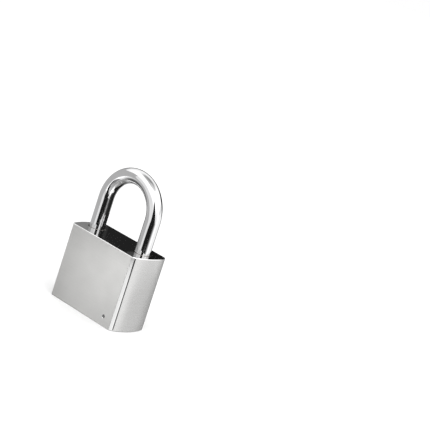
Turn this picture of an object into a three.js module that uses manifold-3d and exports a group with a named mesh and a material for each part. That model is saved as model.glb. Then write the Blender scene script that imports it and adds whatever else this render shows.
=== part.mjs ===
// A 50 mm square-bodied stainless padlock with a ball-locked 8 mm shackle and a five-pin dimple-key cylinder.
// Millimetres, +Z up the shackle, -Y the front face, +X the heel (captive) leg. The origin is the centre of the body's underside.
import * as THREE from 'three';
import { mergeVertices } from 'three/addons/utils/BufferGeometryUtils.js';
import Module from 'manifold-3d';

const wasm = await Module();
wasm.setup();

// ---------------------------------------------------------------- driving dimensions
const W = 50;            // body width over the bulged side faces
const D = 24.4;          // body depth
const H = 39;            // body height
const SIDE_BULGE = 2;    // how far each side face bows out between its edges
const CHAMFER = 1.3;     // vertical edge chamfers
const EDGE = 0.5;        // top and bottom edge bevel

const BAR_R = 4;         // shackle bar radius
const LEG_X = 17;        // shackle legs stand at x = +-LEG_X
const BEND_Z = 55.475;   // height at which the shackle's bend starts
const TOE_END = 29.6;    // underside of the free leg
const HEEL_END = 12;     // underside of the captive leg
const NECK_R = 2.8;      // turned neck of the captive leg
const NECK = [14, 26];   // neck's ends
const LEG_BORE_R = 4.2;
const TOE_BORE_FLOOR = 28.6;

const BALL_R = 3;
const BALL_Z = 33;
const BALL_X = 11.4;     // ball centre when locked
const BALL_TRAVEL = 4.2; // how far a ball comes in when the lock opens
const LIFT = 10;         // shackle lift
const NOTCH_R = 3.12;
const PASSAGE_R = 3.15;

const CYL_R = 9;         // cylinder housing
const CYL_BORE_R = 9.15;
const CYL_Y = 1.8;       // the housing sits behind the plug's axis
const CYL_TOP = 28;
const CYL_BORE_TOP = 28.3;
const CHAMBER_R = 8.8;   // room for the cam
const CHAMBER_TOP = 36.4;

const PLUG_R = 5.5;
const PLUG_BORE_R = 5.65;
const PLUG_TOP = 29.6;
const FLANGE_R = 6.4;
const FLANGE_H = 1;
const KEYWAY = [8.4, 2.5]; // along X, along Y
const KEYWAY_TOP = 27;
const PIN_Z = [5, 9.2, 13.4, 17.6, 21.8];
const PIN_R = 1.15;
const PIN_BORE_R = 1.3;
const KEY_PIN_TOP = 5.3;
const KEY_PIN_TIP = [0.85, 0.55, 0.95, 0.5, 0.75]; // bitting of this lock's key
const DRIVER = [5.72, 7.92];
const DRIVER_SPRING = [8.02, 9.98];

const CAM = [30, 36];
const CAM_R = 8.3;
const CAM_CLEAR = 0.1;   // between a ball and the cam's flank
const TONGUE = [6, 2.2, 31.5]; // along X, along Y, top

const PIN8_Z = 25;       // shackle retaining pin's height
const CROSS_R = 0.75;    // radius of both small steel pins
const CROSS_BORE_R = 0.85;
const HEEL_PLUG = [0.15, 6.4];
const HEEL_PLUG_R = 4.1;
const PLUG_PIN = [16, 4.9]; // x and z of the pin seen on the front face
const CYL_PIN = [-9.3, 7];  // x and z of the cylinder's retaining pin
const CYL_PIN_R = 0.95;

// ---------------------------------------------------------------- helpers
function solid(geometry) {
  let g = geometry.clone();
  for (const name of Object.keys(g.attributes)) if (name !== 'position') g.deleteAttribute(name);
  g = mergeVertices(g, 1e-4);
  const p = g.attributes.position.array;
  const source = g.index.array;
  let tri = [];
  let volume = 0;
  const a = new THREE.Vector3(), b = new THREE.Vector3(), c = new THREE.Vector3();
  for (let i = 0; i < source.length; i += 3) {
    const [i0, i1, i2] = [source[i], source[i + 1], source[i + 2]];
    if (i0 === i1 || i1 === i2 || i0 === i2) continue;
    tri.push(i0, i1, i2);
    a.fromArray(p, 3 * i0); b.fromArray(p, 3 * i1); c.fromArray(p, 3 * i2);
    volume += a.dot(b.cross(c));
  }
  if (volume < 0) {
    const turned = [];
    for (let i = 0; i < tri.length; i += 3) turned.push(tri[i], tri[i + 2], tri[i + 1]);
    tri = turned;
  }
  return new wasm.Manifold(new wasm.Mesh({
    numProp: 3,
    vertProperties: new Float32Array(p),
    triVerts: new Uint32Array(tri),
  }));
}

// a turned solid about +Z through (x, y); points are [radius, z]
function lathe(points, segments, x = 0, y = 0) {
  const g = new THREE.LatheGeometry(points.map(([r, z]) => new THREE.Vector2(r, z)), segments);
  g.rotateX(Math.PI / 2);
  g.translate(x, y, 0);
  return solid(g);
}

// LatheGeometry turns about +Y, and the rotation above sends +Y to +Z
function rod(r, z0, z1, segments = 48, x = 0, y = 0, bevel = 0) {
  const points = bevel
    ? [[0, z0], [r - bevel, z0], [r, z0 + bevel], [r, z1 - bevel], [r - bevel, z1], [0, z1]]
    : [[0, z0], [r, z0], [r, z1], [0, z1]];
  return lathe(points, segments, x, y);
}

function rodX(r, x0, x1, y, z, segments = 24) {
  const g = new THREE.CylinderGeometry(r, r, x1 - x0, segments);
  g.rotateZ(Math.PI / 2);
  g.translate((x0 + x1) / 2, y, z);
  return solid(g);
}

function rodY(r, y0, y1, x, z, segments = 24, tip = 0) {
  // tip > 0 rounds off the +Y end with a small cone
  const g = new THREE.LatheGeometry(
    (tip
      ? [[0, y0], [r, y0], [r, y1 - tip], [r - tip, y1], [0, y1]]
      : [[0, y0], [r, y0], [r, y1], [0, y1]]
    ).map(([a, b]) => new THREE.Vector2(a, b)), segments);
  g.translate(x, 0, z);
  return solid(g);
}

function box(x0, x1, y0, y1, z0, z1) {
  const g = new THREE.BoxGeometry(x1 - x0, y1 - y0, z1 - z0);
  g.translate((x0 + x1) / 2, (y0 + y1) / 2, (z0 + z1) / 2);
  return solid(g);
}

function outline(points, z0, z1, bevel = 0) {
  const g = new THREE.ExtrudeGeometry(new THREE.Shape(points.map(([x, y]) => new THREE.Vector2(x, y))), {
    depth: z1 - z0 - 2 * bevel,
    bevelEnabled: bevel > 0,
    bevelThickness: bevel,
    bevelSize: bevel,
    bevelOffset: -bevel,
    bevelSegments: 1,
    steps: 1,
  });
  g.translate(0, 0, z0 + bevel);
  return solid(g);
}

class Helix extends THREE.Curve {
  constructor(radius, turns, length) {
    super();
    Object.assign(this, { radius, turns, length });
  }
  getPoint(t, target = new THREE.Vector3()) {
    const a = 2 * Math.PI * this.turns * t;
    return target.set(this.radius * Math.cos(a), this.radius * Math.sin(a), this.length * t);
  }
}

// a coil spring along +Z from 0 to length, ends included in the length
function coil(radius, wire, turns, length, steps, sides) {
  const path = new Helix(radius, turns, length - 2 * wire);
  const section = new THREE.Shape();
  section.absarc(0, 0, wire, 0, 2 * Math.PI, false);
  const g = new THREE.ExtrudeGeometry(section, {
    steps, bevelEnabled: false, extrudePath: path, curveSegments: sides,
  });
  g.translate(0, 0, wire);
  return g;
}

const STEEL = { color: 0xb9bbbd, metalness: 1, roughness: 0.3 };
const LOOKS = {
  satin: { color: 0xc6c7c8, metalness: 1, roughness: 0.38 },
  chrome: { color: 0xd8dadd, metalness: 1, roughness: 0.08 },
  steel: STEEL,
  spring: { color: 0x9a9da0, metalness: 1, roughness: 0.32 },
  brass: { color: 0xb8985a, metalness: 1, roughness: 0.3 },
  nickel: { color: 0xc4c0b4, metalness: 1, roughness: 0.25 },
};

const lock = new THREE.Group();
lock.name = 'padlock';

function add(name, manifold, look) {
  const m = manifold.getMesh();
  const g = new THREE.BufferGeometry();
  const n = m.numProp;
  const at = new Float32Array((m.vertProperties.length / n) * 3);
  for (let i = 0; i < at.length / 3; i++) for (let k = 0; k < 3; k++) at[3 * i + k] = m.vertProperties[i * n + k];
  g.setAttribute('position', new THREE.BufferAttribute(at, 3));
  g.setIndex(new THREE.BufferAttribute(new Uint32Array(m.triVerts), 1));
  g.computeVertexNormals();
  const mesh = new THREE.Mesh(g, new THREE.MeshStandardMaterial({ ...LOOKS[look], flatShading: true }));
  mesh.name = name;
  lock.add(mesh);
  return mesh;
}

// ---------------------------------------------------------------- lock body
const half = W / 2 - SIDE_BULGE;          // x of the side face's two edges
const faceY = D / 2 - CHAMFER;            // |y| of those edges
const arcR = (faceY ** 2 + SIDE_BULGE ** 2) / (2 * SIDE_BULGE);
const arcC = W / 2 - arcR;
const SIDE_STEPS = 12;
const profile = [];
for (const s of [1, -1]) {
  profile.push([-s * (half - CHAMFER), -s * D / 2], [s * (half - CHAMFER), -s * D / 2]);
  const sweep = Math.asin(faceY / arcR);
  for (let i = 0; i <= SIDE_STEPS; i++) {
    const a = -sweep + (2 * sweep * i) / SIDE_STEPS;
    profile.push([s * (arcC + arcR * Math.cos(a)), s * arcR * Math.sin(a)]);
  }
}
const mouth = 0.35; // countersink where each leg enters
let body = outline(profile, 0, H, EDGE);
body = body.subtract(lathe([[0, TOE_BORE_FLOOR], [LEG_BORE_R, TOE_BORE_FLOOR], [LEG_BORE_R, H - mouth], [LEG_BORE_R + mouth + 0.2, H + 0.2], [0, H + 0.2]], 48, -LEG_X));
body = body.subtract(lathe([[0, -1], [LEG_BORE_R, -1], [LEG_BORE_R, H - mouth], [LEG_BORE_R + mouth + 0.2, H + 0.2], [0, H + 0.2]], 48, LEG_X));
body = body.subtract(rod(CYL_BORE_R, -1, CYL_BORE_TOP, 72, 0, CYL_Y));
body = body.subtract(rod(CHAMBER_R, CYL_BORE_TOP - 1, CHAMBER_TOP, 72));
body = body.subtract(rodX(PASSAGE_R, -LEG_X, LEG_X, 0, BALL_Z, 36));
body = body.subtract(rodX(CROSS_BORE_R, 6, LEG_X, 0, PIN8_Z));
body = body.subtract(rodY(CROSS_BORE_R, -D / 2 - 1, 5.8, PLUG_PIN[0], PLUG_PIN[1]));
body = body.subtract(rodY(CYL_PIN_R + 0.1, -2.4, D / 2 + 1, CYL_PIN[0], CYL_PIN[1]));
add('lock_body', body, 'satin');

// ---------------------------------------------------------------- shackle
// one closed bar: free leg, half-ring bend and captive leg share their ring vertices
const BAR_SIDES = 40;
const BEND_STEPS = 28;
const bend = new THREE.TorusGeometry(LEG_X, BAR_R, BAR_SIDES, BEND_STEPS, Math.PI);
bend.rotateX(Math.PI / 2);
bend.translate(0, 0, BEND_Z);
function ringGeometry(x, rings) {
  // stacked rings about (x, 0), from the first to the last [radius, z]; a cap closes the last one
  const at = [], index = [];
  for (const [r, z] of rings) {
    for (let k = 0; k < BAR_SIDES; k++) {
      const v = (2 * Math.PI * k) / BAR_SIDES;
      at.push(x + r * Math.cos(v), r * Math.sin(v), z);
    }
  }
  const last = rings.length - 1;
  for (let i = 0; i < last; i++) {
    for (let k = 0; k < BAR_SIDES; k++) {
      const a = i * BAR_SIDES + k, b = i * BAR_SIDES + ((k + 1) % BAR_SIDES);
      index.push(a, a + BAR_SIDES, b, b, a + BAR_SIDES, b + BAR_SIDES);
    }
  }
  at.push(x, 0, rings[last][1]);
  const middle = rings.length * BAR_SIDES;
  for (let k = 0; k < BAR_SIDES; k++) index.push(last * BAR_SIDES + k, middle, last * BAR_SIDES + ((k + 1) % BAR_SIDES));
  return { at, index };
}
function joined(pieces) {
  const at = [], index = [];
  for (const p of pieces) {
    const first = at.length / 3;
    for (const v of p.at) at.push(v);
    for (const i of p.index) index.push(first + i);
  }
  const g = new THREE.BufferGeometry();
  g.setAttribute('position', new THREE.Float32BufferAttribute(at, 3));
  g.setIndex(index);
  return g;
}
const bendPiece = { at: [...bend.attributes.position.array], index: [...bend.index.array] };
const toeRings = ringGeometry(-LEG_X, [[BAR_R, BEND_Z], [BAR_R, TOE_END + 0.8], [BAR_R - 0.8, TOE_END]]);
const heelRings = ringGeometry(LEG_X, [
  [BAR_R, BEND_Z], [BAR_R, NECK[1] + 0.3], [BAR_R - 0.3, NECK[1]], [NECK_R, NECK[1]], [NECK_R, NECK[0]],
  [BAR_R - 0.3, NECK[0]], [BAR_R, NECK[0] - 0.3], [BAR_R, HEEL_END + 0.4], [BAR_R - 0.4, HEEL_END],
]);
let shackle = solid(joined([bendPiece, toeRings, heelRings]));
// each leg's ball notch: the ball's own path against the rising leg
for (const s of [1, -1]) {
  const path = new THREE.Vector3(-s * BALL_TRAVEL, 0, -LIFT).multiplyScalar(0.6);
  const g = new THREE.CapsuleGeometry(NOTCH_R, path.length(), 7, 24);
  const turn = new THREE.Quaternion().setFromUnitVectors(new THREE.Vector3(0, 1, 0), path.clone().normalize());
  g.applyQuaternion(turn);
  g.translate(s * BALL_X + path.x / 2, path.y / 2, BALL_Z + path.z / 2);
  shackle = shackle.subtract(solid(g));
}
add('shackle', shackle, 'chrome');

const bigSpring = coil(3.1, 0.45, 3.5, HEEL_END - 0.1 - (HEEL_PLUG[1] + 0.1), 56, 4);
bigSpring.translate(LEG_X, 0, HEEL_PLUG[1] + 0.1);
add('shackle_spring', solid(bigSpring), 'spring');

// ---------------------------------------------------------------- heel bore plug and the pins pressed into the body
let heelPlug = rod(HEEL_PLUG_R, HEEL_PLUG[0], HEEL_PLUG[1], 48, LEG_X, 0, 0.3);
heelPlug = heelPlug.subtract(rodY(CROSS_BORE_R, -8, 8, PLUG_PIN[0], PLUG_PIN[1]));
add('heel_bore_plug', heelPlug, 'satin');
add('heel_plug_pin', rodY(CROSS_R, -D / 2 + 0.05, 5.6, PLUG_PIN[0], PLUG_PIN[1], 24, 0.25), 'steel');
add('shackle_retaining_pin', rodX(CROSS_R, 9.05, LEG_X - NECK_R - 0.1, 0, PIN8_Z), 'steel');
add('cylinder_retaining_pin', rodY(CYL_PIN_R, -2.2, D / 2 - 0.05, CYL_PIN[0], CYL_PIN[1]), 'steel');

// ---------------------------------------------------------------- locking balls
for (const [name, s] of [['locking_ball_toe', -1], ['locking_ball_heel', 1]]) {
  const g = new THREE.SphereGeometry(BALL_R, 22, 14);
  g.translate(s * BALL_X, 0, BALL_Z);
  add(name, solid(g), 'chrome');
}

// ---------------------------------------------------------------- cylinder housing
let housing = rod(CYL_R, 0.1, CYL_TOP, 72, 0, CYL_Y, 0.2);
housing = housing.subtract(rod(PLUG_BORE_R, -1, CYL_TOP + 1, 64));
housing = housing.subtract(rod(FLANGE_R + 0.15, -1, 0.1 + FLANGE_H + 0.2, 64));
for (const z of PIN_Z) housing = housing.subtract(rodY(PIN_BORE_R, 3, 10.4, 0, z));
const stripZ = [PIN_Z[0] - 2, PIN_Z[4] + 2];
housing = housing.subtract(box(-1.7, 1.7, 10.02, 12, stripZ[0], stripZ[1]));
housing = housing.subtract(rodY(CYL_PIN_R + 0.15, -2.5, 14, CYL_PIN[0], CYL_PIN[1]));
add('cylinder_housing', housing, 'brass');
add('chamber_cover_strip', box(-1.6, 1.6, 10.1, 10.6, stripZ[0] + 0.1, stripZ[1] - 0.1), 'steel');

// ---------------------------------------------------------------- plug, clip and cam
const CLIP = [28.3, 28.9];
let plug = lathe([
  [0, 0.1], [FLANGE_R - 0.2, 0.1], [FLANGE_R, 0.3], [FLANGE_R, 0.1 + FLANGE_H], [PLUG_R, 0.1 + FLANGE_H],
  [PLUG_R, CLIP[0] - 0.1], [PLUG_R - 0.7, CLIP[0] - 0.1], [PLUG_R - 0.7, CLIP[1] + 0.1], [PLUG_R, CLIP[1] + 0.1],
  [PLUG_R, PLUG_TOP - 0.2], [PLUG_R - 0.2, PLUG_TOP], [0, PLUG_TOP],
], 64);
plug = plug.add(box(-TONGUE[0] / 2, TONGUE[0] / 2, -TONGUE[1] / 2, TONGUE[1] / 2, PLUG_TOP - 0.6, TONGUE[2]));
plug = plug.subtract(box(-KEYWAY[0] / 2, KEYWAY[0] / 2, -KEYWAY[1] / 2, KEYWAY[1] / 2, -1, KEYWAY_TOP));
for (const z of PIN_Z) plug = plug.subtract(rodY(PIN_BORE_R, 0.5, 8, 0, z));
add('cylinder_plug', plug, 'nickel');

// the open clip that keeps the plug in the housing
const clipShape = new THREE.Shape();
const clipGap = 0.62;
clipShape.absarc(0, 0, 6.8, -Math.PI / 2 + clipGap, 1.5 * Math.PI - clipGap, false);
clipShape.absarc(0, 0, PLUG_R - 0.6, 1.5 * Math.PI - clipGap, -Math.PI / 2 + clipGap, true);
const clipG = new THREE.ExtrudeGeometry(clipShape, { depth: CLIP[1] - CLIP[0], bevelEnabled: false, curveSegments: 28 });
clipG.translate(0, 0, CLIP[0]);
add('plug_retaining_clip', solid(clipG), 'steel');

// two-lobed cam: its flanks follow the balls inward as it turns a quarter turn
function flank(angle) {
  const clear = BALL_R + CAM_CLEAR;
  let r = CAM_R;
  for (let i = 0; i <= 90; i++) {
    const turn = (Math.PI / 2) * (i / 90);
    const rc = BALL_X - BALL_TRAVEL * (i / 90);
    for (const side of [0, Math.PI]) {
      let d = angle + turn - side;
      d = Math.atan2(Math.sin(d), Math.cos(d));
      if (Math.abs(d) >= Math.PI / 2) continue;
      const s = rc * Math.sin(d);
      if (Math.abs(s) >= clear) continue;
      r = Math.min(r, rc * Math.cos(d) - Math.sqrt(clear ** 2 - s ** 2));
    }
  }
  return r;
}
const CAM_STEPS = 120;
function camRadius(angle) {
  // the lowest point within one step each way, so that no straight facet reaches a ball
  const step = (2 * Math.PI) / CAM_STEPS;
  let r = CAM_R;
  for (let i = -4; i <= 4; i++) r = Math.min(r, flank(angle + (i / 4) * step));
  return r;
}
const camPoints = [];
for (let i = 0; i < CAM_STEPS; i++) {
  const a = (2 * Math.PI * i) / CAM_STEPS;
  const r = camRadius(a);
  camPoints.push([r * Math.cos(a), r * Math.sin(a)]);
}
let cam = outline(camPoints, CAM[0], CAM[1], 0);
cam = cam.subtract(box(-TONGUE[0] / 2 - 0.15, TONGUE[0] / 2 + 0.15, -TONGUE[1] / 2 - 0.15, TONGUE[1] / 2 + 0.15, CAM[0] - 1, TONGUE[2] + 0.3));
add('cylinder_cam', cam, 'steel');

// ---------------------------------------------------------------- the five pin stacks
PIN_Z.forEach((z, i) => {
  const tip = KEY_PIN_TIP[i];
  const points = [[0, tip], [0.35, tip], [PIN_R, tip + 1.1], [PIN_R, KEY_PIN_TOP - 0.12], [PIN_R - 0.12, KEY_PIN_TOP], [0, KEY_PIN_TOP]];
  const g = new THREE.LatheGeometry(points.map(([r, y]) => new THREE.Vector2(r, y)), 20);
  g.translate(0, 0, z);
  add(`key_pin_${i + 1}`, solid(g), 'brass');
  const d = [[0, DRIVER[0]], [PIN_R - 0.12, DRIVER[0]], [PIN_R, DRIVER[0] + 0.12], [PIN_R, DRIVER[1] - 0.12], [PIN_R - 0.12, DRIVER[1]], [0, DRIVER[1]]];
  const h = new THREE.LatheGeometry(d.map(([r, y]) => new THREE.Vector2(r, y)), 20);
  h.translate(0, 0, z);
  add(`driver_pin_${i + 1}`, solid(h), 'steel');
  const s = coil(0.85, 0.14, 3, DRIVER_SPRING[1] - DRIVER_SPRING[0], 27, 3);
  s.rotateX(-Math.PI / 2);
  s.translate(0, DRIVER_SPRING[0], z);
  add(`driver_spring_${i + 1}`, solid(s), 'spring');
});

export default lock;
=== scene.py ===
"""Looks for the padlock: every piece is rebuilt as a smooth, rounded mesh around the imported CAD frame, with procedural metals."""
import math

import bmesh
import bpy
import numpy as np
from mathutils import Matrix, Vector


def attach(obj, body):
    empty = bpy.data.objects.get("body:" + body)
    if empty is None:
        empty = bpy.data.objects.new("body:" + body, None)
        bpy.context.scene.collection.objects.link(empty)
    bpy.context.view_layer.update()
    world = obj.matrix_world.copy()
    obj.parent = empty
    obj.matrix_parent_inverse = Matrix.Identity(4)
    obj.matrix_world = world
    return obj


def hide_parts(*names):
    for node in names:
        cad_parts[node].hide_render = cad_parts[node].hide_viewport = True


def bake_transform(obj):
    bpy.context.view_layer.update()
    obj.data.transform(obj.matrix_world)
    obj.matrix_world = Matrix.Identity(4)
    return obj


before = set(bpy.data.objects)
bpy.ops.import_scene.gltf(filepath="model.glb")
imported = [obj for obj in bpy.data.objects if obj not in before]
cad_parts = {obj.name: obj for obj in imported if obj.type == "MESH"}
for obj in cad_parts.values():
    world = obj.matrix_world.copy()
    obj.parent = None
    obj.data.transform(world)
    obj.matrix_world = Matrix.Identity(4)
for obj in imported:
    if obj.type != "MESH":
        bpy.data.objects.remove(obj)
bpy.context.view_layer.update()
MM = 0.001
TAU = 2 * math.pi
SCENE = bpy.context.scene


# ------------------------------------------------------------------ mesh helpers (millimetres in, metres out)
def as_object(name, verts, faces):
    me = bpy.data.meshes.new(name)
    me.from_pydata([(x * MM, y * MM, z * MM) for x, y, z in verts], [], faces)
    bm = bmesh.new()
    bm.from_mesh(me)
    bmesh.ops.remove_doubles(bm, verts=bm.verts, dist=1e-8)
    bmesh.ops.recalc_face_normals(bm, faces=bm.faces)
    bm.to_mesh(me)
    bm.free()
    ob = bpy.data.objects.new(name, me)
    SCENE.collection.objects.link(ob)
    return ob


def rounded(points, steps=5):
    """An open polyline of (a, b) or (a, b, radius) with its inner corners rounded."""
    out = []
    n = len(points)
    for i, p in enumerate(points):
        r = p[2] if len(p) > 2 else 0
        if r <= 0 or i in (0, n - 1):
            out.append((p[0], p[1]))
            continue
        c = np.array(p[:2], float)
        a = np.array(points[i - 1][:2], float) - c
        b = np.array(points[i + 1][:2], float) - c
        la, lb = np.linalg.norm(a), np.linalg.norm(b)
        a, b = a / la, b / lb
        half = math.acos(max(-1, min(1, float(a @ b)))) / 2
        if half > math.pi / 2 - 1e-3:
            out.append((p[0], p[1]))
            continue
        d = min(r / math.tan(half), la * 0.49, lb * 0.49)
        rr = d * math.tan(half)
        mid = (a + b) / np.linalg.norm(a + b)
        o = c + mid * (rr / math.sin(half))
        s, e = c + a * d - o, c + b * d - o
        t0, t1 = math.atan2(s[1], s[0]), math.atan2(e[1], e[0])
        dt = (t1 - t0 + math.pi) % TAU - math.pi
        for k in range(steps + 1):
            t = t0 + dt * k / steps
            out.append((o[0] + rr * math.cos(t), o[1] + rr * math.sin(t)))
    return out


def lathe(name, profile, segs=64, at=(0, 0, 0), axis="Z", closed=False):
    """Turns a profile of (radius, height) about an axis through at."""
    verts, rings = [], []
    for r, h in profile:
        if r < 1e-6:
            rings.append([len(verts)])
            verts.append((0, 0, h))
        else:
            first = len(verts)
            rings.append(list(range(first, first + segs)))
            verts += [(r * math.cos(TAU * k / segs), r * math.sin(TAU * k / segs), h) for k in range(segs)]
    faces = []
    pairs = list(zip(rings, rings[1:])) + ([(rings[-1], rings[0])] if closed else [])
    for a, b in pairs:
        if len(a) == 1 and len(b) == 1:
            continue
        for k in range(segs):
            j = (k + 1) % segs
            if len(a) == 1:
                faces.append((a[0], b[j], b[k]))
            elif len(b) == 1:
                faces.append((a[k], a[j], b[0]))
            else:
                faces.append((a[k], a[j], b[j], b[k]))
    turned = {
        "Z": lambda x, y, z: (at[0] + x, at[1] + y, at[2] + z),
        "Y": lambda x, y, z: (at[0] + x, at[1] + z, at[2] - y),
        "X": lambda x, y, z: (at[0] + z, at[1] + y, at[2] - x),
    }[axis]
    return as_object(name, [turned(*v) for v in verts], faces)


def prism(name, outline, z0, z1):
    n = len(outline)
    verts = [(x, y, z0) for x, y in outline] + [(x, y, z1) for x, y in outline]
    faces = [tuple(range(n - 1, -1, -1)), tuple(range(n, 2 * n))]
    faces += [(k, (k + 1) % n, n + (k + 1) % n, n + k) for k in range(n)]
    return as_object(name, verts, faces)


def tube(name, path, radius, sides, closed=False):
    """A round bar along points, with parallel-carried sections and flat ends."""
    p = np.array(path, float)
    n = len(p)
    tan = np.gradient(p, axis=0)
    if not closed:
        tan[0], tan[-1] = p[1] - p[0], p[-1] - p[-2]
    tan /= np.linalg.norm(tan, axis=1)[:, None]
    ref = np.array([0, 1, 0.0]) if abs(tan[0][1]) < 0.9 else np.array([1.0, 0, 0])
    u = np.cross(tan[0], ref)
    u /= np.linalg.norm(u)
    verts, faces = [], []
    for i in range(n):
        u = u - tan[i] * (u @ tan[i])
        u /= np.linalg.norm(u)
        v = np.cross(tan[i], u)
        r = radius(i / (n - 1)) if callable(radius) else radius
        for k in range(sides):
            a = TAU * k / sides
            verts.append(tuple(p[i] + r * (math.cos(a) * u + math.sin(a) * v)))
    for i in range(n - 1):
        for k in range(sides):
            j = (k + 1) % sides
            faces.append((i * sides + k, i * sides + j, (i + 1) * sides + j, (i + 1) * sides + k))
    faces.append(tuple(range(sides - 1, -1, -1)))
    faces.append(tuple((n - 1) * sides + k for k in range(sides)))
    return as_object(name, verts, faces)


def applied(ob):
    """Bakes the modifiers into the mesh."""
    dg = bpy.context.evaluated_depsgraph_get()
    me = bpy.data.meshes.new_from_object(ob.evaluated_get(dg), preserve_all_data_layers=True, depsgraph=dg)
    ob.modifiers.clear()
    old = ob.data
    ob.data = me
    me.name = ob.name
    bpy.data.meshes.remove(old)
    return ob


def boolean(ob, tools, how="DIFFERENCE"):
    for t in tools if isinstance(tools, (list, tuple)) else [tools]:
        m = ob.modifiers.new("b", "BOOLEAN")
        m.operation, m.object, m.solver = how, t, "EXACT"
        bpy.context.view_layer.update()
        applied(ob)
        me = t.data
        bpy.data.objects.remove(t)
        bpy.data.meshes.remove(me)
    return ob


def bevel(ob, width, segments=3, angle=30):
    m = ob.modifiers.new("v", "BEVEL")
    m.width, m.segments, m.limit_method, m.angle_limit = width * MM, segments, "ANGLE", math.radians(angle)
    m.use_clamp_overlap = True
    m.miter_outer = "MITER_ARC"
    bpy.context.view_layer.update()
    return applied(ob)


def smooth(ob, angle=32, weighted=True):
    me = ob.data
    me.shade_smooth()
    me.set_sharp_from_angle(angle=math.radians(angle))
    if weighted:
        m = ob.modifiers.new("n", "WEIGHTED_NORMAL")
        m.mode, m.weight, m.keep_sharp = "FACE_AREA", 50, True
        bpy.context.view_layer.update()
        applied(ob)
    return ob


def place(ob, body, nodes, mats, pick=None):
    """Finishes a piece: its materials, what it stands for and what it moves with."""
    me = ob.data
    me.materials.clear()
    for m in mats if isinstance(mats, (list, tuple)) else [mats]:
        me.materials.append(m)
    if pick is not None:
        index = np.zeros(len(me.polygons), np.int32)
        for i, f in enumerate(me.polygons):
            c, n = f.center / MM, f.normal
            index[i] = pick(c, n)
        me.polygons.foreach_set("material_index", index)
    else:
        me.polygons.foreach_set("material_index", np.zeros(len(me.polygons), np.int32))
    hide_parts(*([nodes] if isinstance(nodes, str) else nodes))
    if body:
        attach(ob, body)
    return ob


# ------------------------------------------------------------------ procedural metals
def fill_ramp(node, stops):
    """Puts (position, value or colour) stops, in rising order, on a colour ramp."""
    e = node.color_ramp.elements
    colour = lambda c: (*c, 1) if hasattr(c, "__len__") else (c, c, c, 1)
    e[0].position, e[0].color = stops[0][0], colour(stops[0][1])
    e[1].position, e[1].color = stops[-1][0], colour(stops[-1][1])
    for p, c in stops[1:-1]:
        e.new(p).color = colour(c)


class Nodes:
    def __init__(self, name):
        self.mat = bpy.data.materials.new(name)
        self.mat.use_nodes = True
        self.t = self.mat.node_tree
        self.t.nodes.clear()
        self.out = self.t.nodes.new("ShaderNodeOutputMaterial")
        self.bsdf = self.t.nodes.new("ShaderNodeBsdfPrincipled")
        self.t.links.new(self.bsdf.outputs[0], self.out.inputs[0])
        self.coord = self.t.nodes.new("ShaderNodeTexCoord")

    def link(self, a, b):
        self.t.links.new(a, b)

    def scaled(self, scale, turn=(0, 0, 0)):
        m = self.t.nodes.new("ShaderNodeMapping")
        m.inputs["Scale"].default_value = scale
        m.inputs["Rotation"].default_value = turn
        self.link(self.coord.outputs["Object"], m.inputs["Vector"])
        return m.outputs[0]

    def noise(self, scale, stretch=(1, 1, 1), detail=4, rough=0.55, turn=(0, 0, 0), distortion=0.0):
        n = self.t.nodes.new("ShaderNodeTexNoise")
        n.inputs["Scale"].default_value = scale
        n.inputs["Detail"].default_value = detail
        n.inputs["Roughness"].default_value = rough
        n.inputs["Distortion"].default_value = distortion
        self.link(self.scaled(stretch, turn), n.inputs["Vector"])
        return n.outputs["Fac"]

    def ramp(self, fac, stops):
        r = self.t.nodes.new("ShaderNodeValToRGB")
        fill_ramp(r, stops)
        self.link(fac, r.inputs[0])
        return r.outputs[0]

    def math(self, op, a, b, clamp=False):
        m = self.t.nodes.new("ShaderNodeMath")
        m.operation, m.use_clamp = op, clamp
        for s, v in zip(m.inputs, (a, b)):
            if isinstance(v, (int, float)):
                s.default_value = v
            else:
                self.link(v, s)
        return m.outputs[0]

    def mix(self, fac, a, b, how="MIX"):
        m = self.t.nodes.new("ShaderNodeMix")
        m.data_type, m.blend_type = "RGBA", how
        for s, v in zip((m.inputs[0], m.inputs[6], m.inputs[7]), (fac, a, b)):
            if isinstance(v, (int, float)):
                s.default_value = v
            elif isinstance(v, tuple):
                s.default_value = (*v, 1)
            else:
                self.link(v, s)
        return m.outputs[2]

    def bump(self, height, strength, distance, chain=None):
        b = self.t.nodes.new("ShaderNodeBump")
        b.inputs["Strength"].default_value = strength
        b.inputs["Distance"].default_value = distance
        self.link(height, b.inputs["Height"])
        if chain is not None:
            self.link(chain, b.inputs["Normal"])
        return b.outputs[0]

    def rings(self, centre, scale, detail=2):
        """Turning marks: noise that depends only on the distance from an upright axis."""
        m = self.t.nodes.new("ShaderNodeMapping")
        m.inputs["Location"].default_value = (-centre[0] * MM, -centre[1] * MM, 0)
        m.inputs["Scale"].default_value = (1, 1, 0)
        self.link(self.coord.outputs["Object"], m.inputs["Vector"])
        d = self.t.nodes.new("ShaderNodeVectorMath")
        d.operation = "LENGTH"
        self.link(m.outputs[0], d.inputs[0])
        n = self.t.nodes.new("ShaderNodeTexNoise")
        n.noise_dimensions = "1D"
        n.inputs["Scale"].default_value = scale
        n.inputs["Detail"].default_value = detail
        self.link(d.outputs["Value"], n.inputs["W"])
        return n.outputs["Fac"]


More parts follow.
